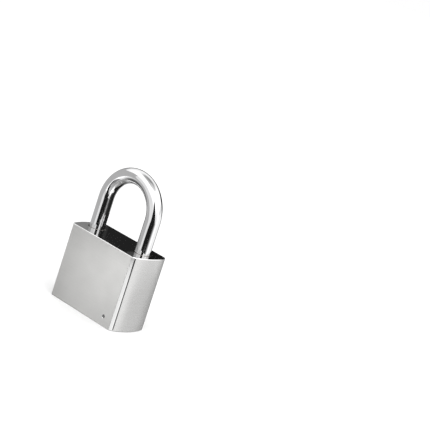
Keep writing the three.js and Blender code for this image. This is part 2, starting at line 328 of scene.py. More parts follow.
def metal(name, low, high, rough, spread, grain=None, patch=90.0, fine=None, wave=None, scratches=0.0, turned=None, specks=0.0):
    """A metal whose colour moves between two tones, with roughness spread, brushed grain, slow waviness, hairline scratches and turning marks."""
    s = Nodes(name)
    b = s.bsdf
    b.inputs["Metallic"].default_value = 1.0
    cloud = s.noise(patch, detail=5, rough=0.6)
    colour = s.ramp(cloud, [(0.3, low), (0.7, high)])
    level = s.ramp(s.noise(patch * 1.7, detail=6, rough=0.65), [(0.25, rough - spread), (0.75, rough + spread)])
    normal = None
    if wave:
        normal = s.bump(s.noise(wave[0], detail=2, rough=0.4), wave[1], wave[2] * MM, normal)
    if grain:
        scale, stretch, strength, depth = grain
        lines = s.noise(scale, stretch, detail=7, rough=0.72)
        normal = s.bump(lines, strength, depth * MM, normal)
        level = s.math("ADD", level, s.math("MULTIPLY", s.math("SUBTRACT", lines, 0.5), 0.16))
        colour = s.mix(0.22, colour, s.ramp(lines, [(0.3, tuple(v * 0.86 for v in low)), (0.7, tuple(min(1, v * 1.06) for v in high))]))
    if fine:
        normal = s.bump(s.noise(fine[0], detail=3, rough=0.7), fine[1], fine[2] * MM, normal)
    if scratches:
        hair = None
        for k, turn in enumerate(((0.3, 0.5, 0.2), (1.2, -0.7, 2.1), (-0.4, 1.9, 0.9))):
            v = s.t.nodes.new("ShaderNodeTexVoronoi")
            v.feature = "DISTANCE_TO_EDGE"
            v.inputs["Scale"].default_value = 70 + 25 * k
            s.link(s.scaled((1.0, 0.12, 1.0), turn), v.inputs["Vector"])
            line = s.ramp(v.outputs["Distance"], [(0.0, 1.0), (0.012, 0.0)])
            keep = s.ramp(s.noise(60 + 13 * k, detail=1), [(0.56, 0.0), (0.62, 1.0)])
            line = s.math("MULTIPLY", line, keep)
            hair = line if hair is None else s.math("MAXIMUM", hair, line)
        level = s.math("ADD", level, s.math("MULTIPLY", hair, 0.12 * scratches))
        normal = s.bump(hair, 0.25 * scratches, -0.01 * MM, normal)
    if turned:
        marks = s.rings(turned[0], turned[1], 3)
        normal = s.bump(marks, turned[2], turned[3] * MM, normal)
        level = s.math("ADD", level, s.math("MULTIPLY", s.math("SUBTRACT", marks, 0.5), 0.12))
    if specks:
        dirt = s.ramp(s.noise(900, detail=2, rough=0.5), [(0.68, 0.0), (0.74, 1.0)])
        colour = s.mix(s.math("MULTIPLY", dirt, specks), colour, tuple(v * 0.45 for v in low))
        level = s.math("ADD", level, s.math("MULTIPLY", dirt, 0.2 * specks))
    s.link(colour, b.inputs["Base Color"])
    s.link(s.math("MAXIMUM", level, 0.02, clamp=True), b.inputs["Roughness"])
    if normal is not None:
        s.link(normal, b.inputs["Normal"])
    return s.mat


# belt-ground faces: the grain runs round the block, so it is fine up the body and long across it
SATIN = metal("satin_stainless", (0.655, 0.652, 0.64), (0.715, 0.712, 0.70), 0.33, 0.03,
              grain=(520, (0.05, 0.05, 9.0), 0.10, 0.02), patch=70, wave=(45, 0.10, 0.2), scratches=0.5, specks=0.12)
SATIN_SIDE = metal("satin_side", (0.665, 0.662, 0.655), (0.725, 0.722, 0.715), 0.27, 0.03,
                   grain=(520, (0.05, 0.05, 9.0), 0.08, 0.015), patch=70, wave=(45, 0.08, 0.2), scratches=0.5, specks=0.12)
# painted highlight: the corner chamfers get a lighter copy of the body's steel, over a smoother polished finish
CHAMFER_HIGHLIGHT = metal("polished_chamfer_painted_highlight", (0.78, 0.78, 0.775), (0.85, 0.85, 0.845), 0.10, 0.02,
                   grain=(620, (6.0, 6.0, 0.05), 0.06, 0.01), patch=110, scratches=0.3)
# painted highlight: the small edge radii get a near-white copy of the steel, over their polished finish
EDGE_HIGHLIGHT = metal("polished_edge_painted_highlight", (0.90, 0.90, 0.895), (0.96, 0.96, 0.955), 0.12, 0.03, patch=120, wave=(160, 0.05, 0.05), scratches=0.2)
# painted shade: the rounded mouths of the leg bores get a dark brownish copy of the steel, standing in for the shadowed
# gap round each leg and its brownish reflections
LIP_SHADE = metal("bore_lip_painted_shade", (0.24, 0.222, 0.208), (0.31, 0.288, 0.27), 0.24, 0.05, patch=120, wave=(160, 0.05, 0.05), scratches=0.2)
MIRROR_TOP = metal("polished_top", (0.60, 0.60, 0.595), (0.68, 0.68, 0.675), 0.085, 0.025, patch=140, wave=(120, 0.07, 0.06), scratches=0.6, specks=0.1)
UNDERSIDE = metal("ground_underside", (0.56, 0.56, 0.55), (0.63, 0.63, 0.62), 0.40, 0.05,
                  grain=(620, (0.05, 7.0, 1.0), 0.10, 0.02), patch=90, scratches=0.6, specks=0.2)
# painted shade: bore walls and inner cavities get a much darker copy of the body's steel, for the shade inside the
# holes; the grain and specks are the bored finish and dirt
BORE = metal("bore_steel_painted_shade", (0.34, 0.34, 0.335), (0.46, 0.455, 0.45), 0.36, 0.06,
             grain=(700, (1.0, 1.0, 12.0), 0.2, 0.02), patch=150, specks=0.5)
# painted shade: a near-black copy of the steel for the groove faces, so the cut line reads dark as a shadow would
GROOVE_SHADE = metal("painted_shade_groove", (0.10, 0.10, 0.10), (0.16, 0.16, 0.16), 0.45, 0.08, patch=300, specks=0.4)
CHROME = metal("polished_chrome", (0.78, 0.78, 0.785), (0.86, 0.86, 0.865), 0.055, 0.02, patch=110,
               wave=(110, 0.06, 0.08), scratches=0.0, specks=0.03)
NECK_STEEL = metal("turned_neck", (0.50, 0.50, 0.50), (0.60, 0.60, 0.60), 0.28, 0.05, grain=(800, (1, 1, 14.0), 0.2, 0.02), patch=160)
BALL = metal("ball_steel", (0.62, 0.62, 0.63), (0.70, 0.70, 0.71), 0.07, 0.02, patch=300, scratches=0.6, specks=0.1)
STEEL = metal("machined_steel", (0.42, 0.42, 0.42), (0.54, 0.54, 0.535), 0.30, 0.05, grain=(900, (1, 1, 10.0), 0.15, 0.015), patch=220, scratches=0.5, specks=0.3)
PIN_STEEL = metal("pin_steel", (0.40, 0.40, 0.40), (0.50, 0.50, 0.49), 0.26, 0.05, patch=400, fine=(2200, 0.12, 0.01), scratches=0.6, specks=0.4)
# painted shade: the two cross pins get a darker copy of the pin steel, standing in for the shaded recess around the
# pin's end
PIN_SHADED = metal("pin_steel_painted_shade", (0.20, 0.20, 0.20), (0.30, 0.30, 0.295), 0.30, 0.05, patch=400, fine=(2200, 0.12, 0.01), scratches=0.6, specks=0.4)
SPRING = metal("spring_wire", (0.34, 0.34, 0.345), (0.46, 0.46, 0.465), 0.30, 0.06, patch=500, fine=(1800, 0.15, 0.01), specks=0.5)
BRASS = metal("turned_brass", (0.66, 0.50, 0.23), (0.78, 0.61, 0.31), 0.30, 0.05, grain=(800, (1, 1, 10.0), 0.14, 0.015), patch=160, scratches=0.5, specks=0.35,
              turned=((0, 1.8), 5200, 0.12, 0.015))
BRASS_PIN = metal("pin_brass", (0.68, 0.52, 0.25), (0.80, 0.64, 0.34), 0.24, 0.05, patch=500, fine=(2000, 0.12, 0.01), specks=0.4)
NICKEL = metal("nickel_plug", (0.66, 0.635, 0.575), (0.76, 0.735, 0.68), 0.20, 0.04, patch=190, scratches=0.9, specks=0.35,
               turned=((0, 0), 6500, 0.16, 0.015))
PLUG_FACE = metal("heel_plug_face", (0.52, 0.52, 0.515), (0.62, 0.62, 0.61), 0.30, 0.05, patch=200, scratches=0.6, specks=0.3,
                  turned=((17, 0), 5600, 0.2, 0.02))

# ------------------------------------------------------------------ sizes, as the CAD has them (millimetres)
W, D, H = 50.0, 24.4, 39.0
BULGE, CHAMFER = 2.0, 1.3
LEG_X, BAR_R, BEND_Z = 17.0, 4.0, 55.475
LEG_BORE = 4.2
TOE_END, HEEL_END = 29.6, 12.0
BALL_X, BALL_Z, BALL_R = 11.4, 33.0, 3.0
CYL_Y = 1.8
PIN_Z = (5.0, 9.2, 13.4, 17.6, 21.8)
TIPS = (0.85, 0.55, 0.95, 0.5, 0.75)

# ------------------------------------------------------------------ lock body
half, face_y = W / 2 - BULGE, D / 2 - CHAMFER
arc_r = (face_y**2 + BULGE**2) / (2 * BULGE)
arc_c = W / 2 - arc_r
sweep = math.asin(face_y / arc_r)
plan = []
for s in (1, -1):
    plan += [(-s * (half - CHAMFER), -s * D / 2), (s * (half - CHAMFER), -s * D / 2)]
    for i in range(41):
        a = -sweep + 2 * sweep * i / 40
        plan.append((s * (arc_c + arc_r * math.cos(a)), s * arc_r * math.sin(a)))
body = prism("body_block", plan, 0, H)
me = body.data
weights = me.attributes.new("bevel_weight_edge", "FLOAT", "EDGE")
vals = np.zeros(len(me.edges), np.float32)
for e in me.edges:
    p, q = (me.vertices[v].co / MM for v in e.vertices)
    if abs(p.z - q.z) < 1e-4:
        vals[e.index] = 0.65
    else:
        if abs(abs(p.y) - D / 2) < 1e-3:
            vals[e.index] = 0.14
        elif abs(abs(p.y) - face_y) < 1e-3:
            vals[e.index] = 0.75
weights.data.foreach_set("value", vals)
m = body.modifiers.new("v", "BEVEL")
m.width, m.segments, m.limit_method = 0.6 * MM, 6, "WEIGHT"
m.use_clamp_overlap = False
bpy.context.view_layer.update()
applied(body)


def bore(x, z0, lip=0.38, n=128):
    """A leg bore whose mouth at the top is rounded over."""
    pts = [(0, z0), (LEG_BORE, z0)]
    for k in range(9):
        a = math.pi / 2 * k / 8
        pts.append((LEG_BORE + lip * (1 - math.cos(a)), H - lip * (1 - math.sin(a))))
    pts += [(LEG_BORE + lip, H + 1), (0, H + 1)]
    return lathe("tool", pts, n, at=(x, 0, 0))


def mouth_bore(r, x, y, z1, lip=0.2, n=128, z0=0.0):
    """A bore from the underside with a small chamfer at its mouth."""
    return lathe("tool", [(0, z0 - 1), (r + lip, z0 - 1), (r + lip, z0), (r, z0 + lip), (r, z1), (0, z1)], n, at=(x, y, 0))


boolean(body, [
    bore(-LEG_X, 28.6),
    bore(LEG_X, 5.0),
    mouth_bore(LEG_BORE, LEG_X, 0, 12.0),
    mouth_bore(9.15, 0, CYL_Y, 28.3, 0.25, 160),
    lathe("tool", [(0, 27.5), (8.8, 27.5), (8.8, 36.4), (0, 36.4)], 128),
    lathe("tool", [(0, -LEG_X), (3.15, -LEG_X), (3.15, LEG_X), (0, LEG_X)], 72, at=(0, 0, BALL_Z), axis="X"),
    lathe("tool", [(0, 6), (0.85, 6), (0.85, LEG_X), (0, LEG_X)], 32, at=(0, 0, 25), axis="X"),
    lathe("tool", [(0, -D / 2 - 1), (0.97, -D / 2 - 1), (0.97, -D / 2), (0.85, -D / 2 + 0.12), (0.85, 5.8), (0, 5.8)], 48, at=(16, 0, 4.9), axis="Y"),
    lathe("tool", [(0, -2.4), (1.05, -2.4), (1.05, D / 2 - 0.12), (1.17, D / 2), (1.17, D / 2 + 1), (0, D / 2 + 1)], 48, at=(-9.3, 0, 7), axis="Y"),
])
# a fine line is cut down the sides just behind each corner chamfer; its faces get a near-black painted shade colour
for sx in (1, -1):
    for sy in (1, -1):
        cx, cy = sx * (half + 0.11), sy * (face_y - 0.30)
        g = prism("tool", [(cx + 0.22 * math.cos(TAU * k / 12), cy + 0.22 * math.sin(TAU * k / 12)) for k in range(12)], 0.7, H - 0.9)
        boolean(body, g)
smooth(body, 28)


def pick_body(c, n):
    up = abs(n.z)
    for x in (-LEG_X, LEG_X):
        d = math.hypot(c.x - x, c.y)
        # bore walls: darker painted shade colour
        if d < LEG_BORE + 0.02 and c.z > 1 or (x > 0 and d < LEG_BORE + 0.02):
            return 4
        # bore mouth lips: dark painted shade colour
        if d < LEG_BORE + 0.42 and c.z > H - 0.5 and up < 0.999:
            return 8
    # the cylinder bore and inner cavity faces get the same painted shade
    if c.z < 37.5 and abs(c.x) < 17 and math.hypot(c.x, c.y - CYL_Y) < 9.17 and up < 0.9:
        return 4
    if 0.5 < c.z < 37 and abs(c.x) < 20 and abs(c.y) < D / 2 - 0.15:
        return 4
    if c.z > H - 0.02 and n.z > 0.99:
        return 3
    if c.z < 0.02 and n.z < -0.99:
        return 5
    # groove faces: near-black painted shade
    for sx in (1, -1):
        for sy in (1, -1):
            if math.hypot(c.x - sx * (half + 0.11), c.y - sy * (face_y - 0.30)) < 0.222 and 0.65 < c.z < H - 0.85:
                return 7
    # top and bottom edge radii: near-white painted highlight
    if up > 0.06:
        return 2
    # round the plan: chamfers get a lighter steel colour, a painted highlight on their smoother finish, and their small
    # edge radii get a near-white painted highlight on a polished finish
    a = math.degrees(math.atan2(abs(n.x), abs(n.y)))
    # chamfers: lighter painted highlight colour
    if abs(a - 45) < 1.5:
        return 1
    if 45.0 < a < 66.0 and abs(c.x) > 20:
        return 2
    return 6 if a > 45 else 0


place(body, "case", "lock_body", [SATIN, CHAMFER_HIGHLIGHT, EDGE_HIGHLIGHT, MIRROR_TOP, BORE, UNDERSIDE, SATIN_SIDE, GROOVE_SHADE, LIP_SHADE], pick_body)

# ------------------------------------------------------------------ shackle
def bar_ring(x, z, r, n):
    return [(x + r * math.cos(TAU * k / n), r * math.sin(TAU * k / n), z) for k in range(n)]


SIDES = 96
rings = []
toe = rounded([(0, TOE_END), (BAR_R, TOE_END, 0.9), (BAR_R, TOE_END + 6)], 8)
for r, z in toe:
    rings.append(("leg", -LEG_X, z, r))
for k in range(1, 9):
    rings.append(("leg", -LEG_X, TOE_END + 6 + (BEND_Z - TOE_END - 6) * k / 8, BAR_R))
for k in range(1, 96):
    rings.append(("bend", math.pi - math.pi * k / 96, 0, BAR_R))
heel = rounded([(BAR_R, BEND_Z), (BAR_R, 26.0, 0.35), (2.8, 26.0, 0.5), (2.8, 14.0, 0.5), (BAR_R, 14.0, 0.3), (BAR_R, HEEL_END, 0.4), (0, HEEL_END)], 6)
legs = [(BAR_R, BEND_Z - (BEND_Z - 27.5) * k / 8) for k in range(9)]
for r, z in legs + heel[1:]:
    rings.append(("leg", LEG_X, z, r))
verts, faces, index = [], [], []
for kind, a, z, r in rings:
    if r < 1e-6:
        index.append([len(verts)])
        verts.append((a, 0, z))
        continue
    index.append(list(range(len(verts), len(verts) + SIDES)))
    for k in range(SIDES):
        v = TAU * k / SIDES
        if kind == "leg":
            # the section's first point lies outward from the arch's middle, as it does on the bend
            sx = -1 if a < 0 else 1
            verts.append((a + sx * r * math.cos(v), r * math.sin(v), z))
        else:
            rr = LEG_X + r * math.cos(v)
            verts.append((rr * math.cos(a), r * math.sin(v), BEND_Z + rr * math.sin(a)))
for a, b in zip(index, index[1:]):
    for k in range(SIDES):
        j = (k + 1) % SIDES
        if len(a) == 1:
            faces.append((a[0], b[j], b[k]))
        elif len(b) == 1:
            faces.append((a[k], a[j], b[0]))
        else:
            faces.append((a[k], a[j], b[j], b[k]))
shackle = as_object("shackle_bar", verts, faces)


def capsule(start, end, r, n=64, m=16):
    """A ball swept from start to end."""
    d = Vector(end) - Vector(start)
    pts = [(0, -r)]
    pts += [(r * math.sin(math.pi / 2 * k / m), -r * math.cos(math.pi / 2 * k / m)) for k in range(1, m + 1)]
    pts += [(r * math.cos(math.pi / 2 * k / m), d.length + r * math.sin(math.pi / 2 * k / m)) for k in range(0, m)]
    pts += [(0, d.length + r)]
    ob = lathe("tool", pts, n)
    q = Vector((0, 0, 1)).rotation_difference(d.normalized()).to_matrix().to_4x4()
    ob.data.transform(Matrix.Translation(Vector(start) * MM) @ q)
    return ob


for s in (1, -1):
    boolean(shackle, capsule((s * BALL_X, 0, BALL_Z), (s * (BALL_X - 2.6), 0, BALL_Z - 6.2), 3.12))
smooth(shackle, 30, weighted=False)


def pick_shackle(c, n):
    if c.x > 0 and c.z < 27 and (math.hypot(c.x - LEG_X, c.y) < 3.4 or 13.2 < c.z < 14.8 or 25.4 < c.z < 26.4):
        return 1
    if 26 < c.z < 37 and math.hypot(abs(c.x) - LEG_X, c.y) < 3.93 and c.z > TOE_END + 0.05:
        return 1
    return 0


place(shackle, "shackle", "shackle", [CHROME, NECK_STEEL], pick_shackle)


# ------------------------------------------------------------------ springs: closed ends
def spring(name, r, wire, height, turns, dead=0.8, sides=14, per=44):
    path, total = [], int(turns * per)
    active = turns - 2 * dead
    rise = height - 2 * wire - 2 * dead * 2 * wire * 0.98
    for i in range(total + 1):
        t = turns * i / total
        if t < dead:
            h = 2 * wire * 0.98 * t
        elif t > turns - dead:
            h = height - 2 * wire - 2 * wire * 0.98 * (turns - t)
        else:
            u = (t - dead) / active
            h = 2 * wire * 0.98 * dead + rise * u
        path.append((r * math.cos(TAU * t), r * math.sin(TAU * t), wire + h))
    return tube(name, path, wire, sides)


sp = spring("shackle_coil", 3.1, 0.44, 5.4, 4.3, 0.75, 16, 56)
sp.data.transform(Matrix.Translation((LEG_X * MM, 0, 6.5 * MM)))
smooth(sp, 40, False)
place(sp, None, "shackle_spring", SPRING)
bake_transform(sp)

# ------------------------------------------------------------------ heel plug and pressed pins
plug = lathe("heel_plug", rounded([(0, 0.32), (0.55, 0.32), (0.75, 0.15, 0.05), (4.1, 0.15, 0.3), (4.1, 6.4, 0.3), (0, 6.4)], 5), 128, at=(LEG_X, 0, 0))
boolean(plug, lathe("tool", [(0, -8), (0.85, -8), (0.85, 8), (0, 8)], 40, at=(16, 0, 4.9), axis="Y"))
smooth(plug, 28)
place(plug, "case", "heel_bore_plug", [PLUG_FACE, STEEL], lambda c, n: 0 if c.z < 1 else 1)

pin = lathe("front_pin", rounded([(0, -12.10), (0.4, -12.08), (0.75, -11.92, 0.16), (0.75, 5.6, 0.2), (0, 5.6)], 6), 48, at=(16, 0, 4.9), axis="Y")
smooth(pin, 30)
# the pin's visible end carries the painted shade colour
place(pin, "case", "heel_plug_pin", PIN_SHADED)
pin = lathe("back_pin", rounded([(0, -2.2), (0.95, -2.2, 0.15), (0.95, 11.92, 0.16), (0.5, 12.08, 0.2), (0, 12.10)], 6), 48, at=(-9.3, 0, 7), axis="Y")
smooth(pin, 30)
# the pin's visible end carries the painted shade colour
place(pin, "case", "cylinder_retaining_pin", PIN_SHADED)
pin = lathe("keeper_pin", rounded([(0, 9.05), (0.75, 9.05, 0.12), (0.75, 14.1, 0.12), (0, 14.1)], 5), 48, at=(0, 0, 25), axis="X")
smooth(pin, 30)
place(pin, "case", "shackle_retaining_pin", PIN_STEEL)

# ------------------------------------------------------------------ locking balls
for name, node, bodyname, s in (("ball_toe_side", "locking_ball_toe", "ball_toe", -1), ("ball_heel_side", "locking_ball_heel", "ball_heel", 1)):
    pts = [(BALL_R * math.sin(math.pi * k / 32), -BALL_R * math.cos(math.pi * k / 32)) for k in range(33)]
    pts[0], pts[-1] = (0, -BALL_R), (0, BALL_R)
    ball = lathe(name, pts, 64, at=(s * BALL_X, 0, BALL_Z))
    smooth(ball, 60, False)
    place(ball, bodyname, node, BALL)

# ------------------------------------------------------------------ key cylinder
# the bore isn't concentric with the shell, so the shell starts solid and is bored
shell = lathe("cylinder_shell", rounded([(0, 0.1), (9.0, 0.1, 0.22), (9.0, 28.0, 0.25), (0, 28.0)], 5), 160, at=(0, CYL_Y, 0))
tools = [
    lathe("tool", [(0, -1), (6.67, -1), (6.67, 0.1), (6.55, 0.22), (6.55, 1.3), (5.65, 1.3), (5.65, 29), (0, 29)], 128),
    lathe("tool", [(0, -2.5), (1.1, -2.5), (1.1, 14), (0, 14)], 40, at=(-9.3, 0, 7), axis="Y"),
]
for z in PIN_Z:
    tools.append(lathe("tool", [(0, 3), (1.3, 3), (1.3, 10.4), (0, 10.4)], 40, at=(0, 0, z), axis="Y"))
slot_outline = rounded([(0, 3.0), (1.7, 3.0, 0.8), (1.7, 23.8, 0.8), (-1.7, 23.8, 0.8), (-1.7, 3.0, 0.8), (-0.01, 3.0)], 6)
slot_tool = prism("tool", slot_outline, 10.02, 12.0)
slot_tool.data.transform(Matrix(((1, 0, 0, 0), (0, 0, 1, 0), (0, 1, 0, 0), (0, 0, 0, 1))))
slot_tool.data.flip_normals()
tools.append(slot_tool)
boolean(shell, tools)
smooth(shell, 28)
place(shell, "case", "cylinder_housing", BRASS)

strip_outline = rounded([(0, 3.12), (1.58, 3.12, 0.75), (1.58, 23.68, 0.75), (-1.58, 23.68, 0.75), (-1.58, 3.12, 0.75), (-0.01, 3.12)], 6)
strip = prism("chamber_strip", strip_outline, 10.1, 10.6)
strip.data.transform(Matrix(((1, 0, 0, 0), (0, 0, 1, 0), (0, 1, 0, 0), (0, 0, 0, 1))))
strip.data.flip_normals()
bevel(strip, 0.08, 2)
smooth(strip, 30)
place(strip, "case", "chamber_cover_strip", STEEL)

core = lathe("key_plug", rounded([
    (0, 0.1), (4.9, 0.1, 0.1), (5.05, 0.24, 0.06), (5.35, 0.24, 0.06), (5.5, 0.1, 0.1), (6.4, 0.1, 0.25), (6.4, 1.1, 0.08), (5.5, 1.1),
    (5.5, 28.2, 0.05), (4.8, 28.2), (4.8, 29.0), (5.5, 29.0, 0.05), (5.5, 29.6, 0.2), (0, 29.6)], 4), 128)
tongue = prism("tool", rounded([(0, -1.1), (3, -1.1, 0.2), (3, 1.1, 0.2), (-3, 1.1, 0.2), (-3, -1.1, 0.2), (-0.01, -1.1)], 4), 29.0, 31.5)
boolean(core, tongue, "UNION")


def keyway(grow, z0, z1):
    """The slot a flat dimple key slides into: 8.4 by 2.5 mm, round-cornered, with a guide rib along one side."""
    g = grow
    out = rounded([
        (0, -1.25 - g), (4.2 + g, -1.25 - g, 0.35), (4.2 + g, 1.25 + g, 0.35), (2.9 + g, 1.25 + g, 0.12), (2.75 + g, 0.95 + g, 0.1),
        (2.25 - g, 0.95 + g, 0.1), (2.1 - g, 1.25 + g, 0.12), (-4.2 - g, 1.25 + g, 0.35), (-4.2 - g, -1.25 - g, 0.35), (-0.01, -1.25 - g)], 5)
    return prism("tool", out, z0, z1)


tools = [keyway(0.0, 0.3, 27.0), keyway(0.12, -1.0, 0.4)]
for z in PIN_Z:
    tools.append(lathe("tool", [(0, 0.6), (1.3, 0.6), (1.3, 8), (0, 8)], 40, at=(0, 0, z), axis="Y"))
# a small centre mark that shows which way the key faces
tools.append(lathe("tool", [(0, -1), (0.5, -1), (0.5, 0.1), (0, 0.42)], 32, at=(0, -3.3, 0)))
boolean(core, tools)
smooth(core, 28)
place(core, "plug", "cylinder_plug", NICKEL)

# the clip: an open ring with rounded horns
outer, inner, gap = 6.8, 4.9, 0.62
ring = [(outer * math.cos(a), outer * math.sin(a)) for a in np.linspace(-math.pi / 2 + gap, 1.5 * math.pi - gap, 97)]
back = [(inner * math.cos(a), inner * math.sin(a)) for a in np.linspace(1.5 * math.pi - gap, -math.pi / 2 + gap, 97)]
clip = prism("plug_clip", ring + back, 28.3, 28.9)
bevel(clip, 0.09, 2, 40)
smooth(clip, 30)
place(clip, "plug", "plug_retaining_clip", SPRING)


def cam_radius(angle):
    clear, r = BALL_R + 0.1, 8.25
    for i in range(91):
        turn, rc = math.pi / 2 * i / 90, BALL_X - 4.2 * i / 90
        for side in (0, math.pi):
            d = angle + turn - side
            d = math.atan2(math.sin(d), math.cos(d))
            if abs(d) >= math.pi / 2:
                continue
            q = rc * math.sin(d)
            if abs(q) < clear:
                r = min(r, rc * math.cos(d) - math.sqrt(clear**2 - q * q))
    return r


base = [min(cam_radius(TAU * (k + j) / 360) for j in (-1, 0, 1)) for k in range(360)]
cam = prism("lock_cam", [(base[k] * math.cos(TAU * k / 360), base[k] * math.sin(TAU * k / 360)) for k in range(360)], 30.0, 36.0)
boolean(cam, prism("tool", rounded([(0, -1.25), (3.15, -1.25, 0.2), (3.15, 1.25, 0.2), (-3.15, 1.25, 0.2), (-3.15, -1.25, 0.2), (-0.01, -1.25)], 4), 29.0, 31.8))
smooth(cam, 30)
place(cam, "plug", "cylinder_cam", STEEL)

# ------------------------------------------------------------------ pin stacks
for i, (z, tip) in enumerate(zip(PIN_Z, TIPS), 1):
    kp = lathe(f"keypin_{i}", rounded([(0, tip), (0.3, tip, 0.1), (1.15, tip + 1.1, 0.12), (1.15, 5.3, 0.14), (0, 5.3)], 5), 40, at=(0, 0, z), axis="Y")
    smooth(kp, 30)
    place(kp, f"key_pin_{i}", f"key_pin_{i}", BRASS_PIN)
    dp = lathe(f"driverpin_{i}", rounded([(0, 5.72), (1.15, 5.72, 0.14), (1.15, 6.35, 0.05), (0.95, 6.45, 0.05), (0.95, 7.05, 0.05), (1.15, 7.15, 0.05), (1.15, 7.92, 0.14), (0, 7.92)], 5), 40, at=(0, 0, z), axis="Y")
    smooth(dp, 30)
    place(dp, f"driver_pin_{i}", f"driver_pin_{i}", PIN_STEEL)
    ds = spring(f"driverspring_{i}", 0.84, 0.135, 1.94, 3.6, 0.7, 8, 24)
    ds.data.transform(Matrix(((1, 0, 0, 0), (0, 0, 1, 8.03 * MM), (0, -1, 0, z * MM), (0, 0, 0, 1))))
    smooth(ds, 50, False)
    place(ds, None, f"driver_spring_{i}", SPRING)
    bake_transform(ds)

# ------------------------------------------------------------------ stage, light and camera
def plain(name, colour, emit=None, rough=0.9):
    mat = bpy.data.materials.new(name)
    mat.use_nodes = True
    b = mat.node_tree.nodes["Principled BSDF"]
    b.inputs["Base Color"].default_value = (*colour, 1)
    b.inputs["Roughness"].default_value = rough
    b.inputs["Specular IOR Level"].default_value = 0.0
    if emit is not None:
        b.inputs["Base Color"].default_value = (0, 0, 0, 1)
        b.inputs["Emission Color"].default_value = (*colour, 1)
        b.inputs["Emission Strength"].default_value = emit
    return mat


floor = as_object("floor", [(-6000, -6000, 0), (6000, -6000, 0), (6000, 6000, 0), (-6000, 6000, 0)], [(0, 1, 2, 3)])
floor.data.materials.append(plain("floor_white", (0.95, 0.95, 0.95)))


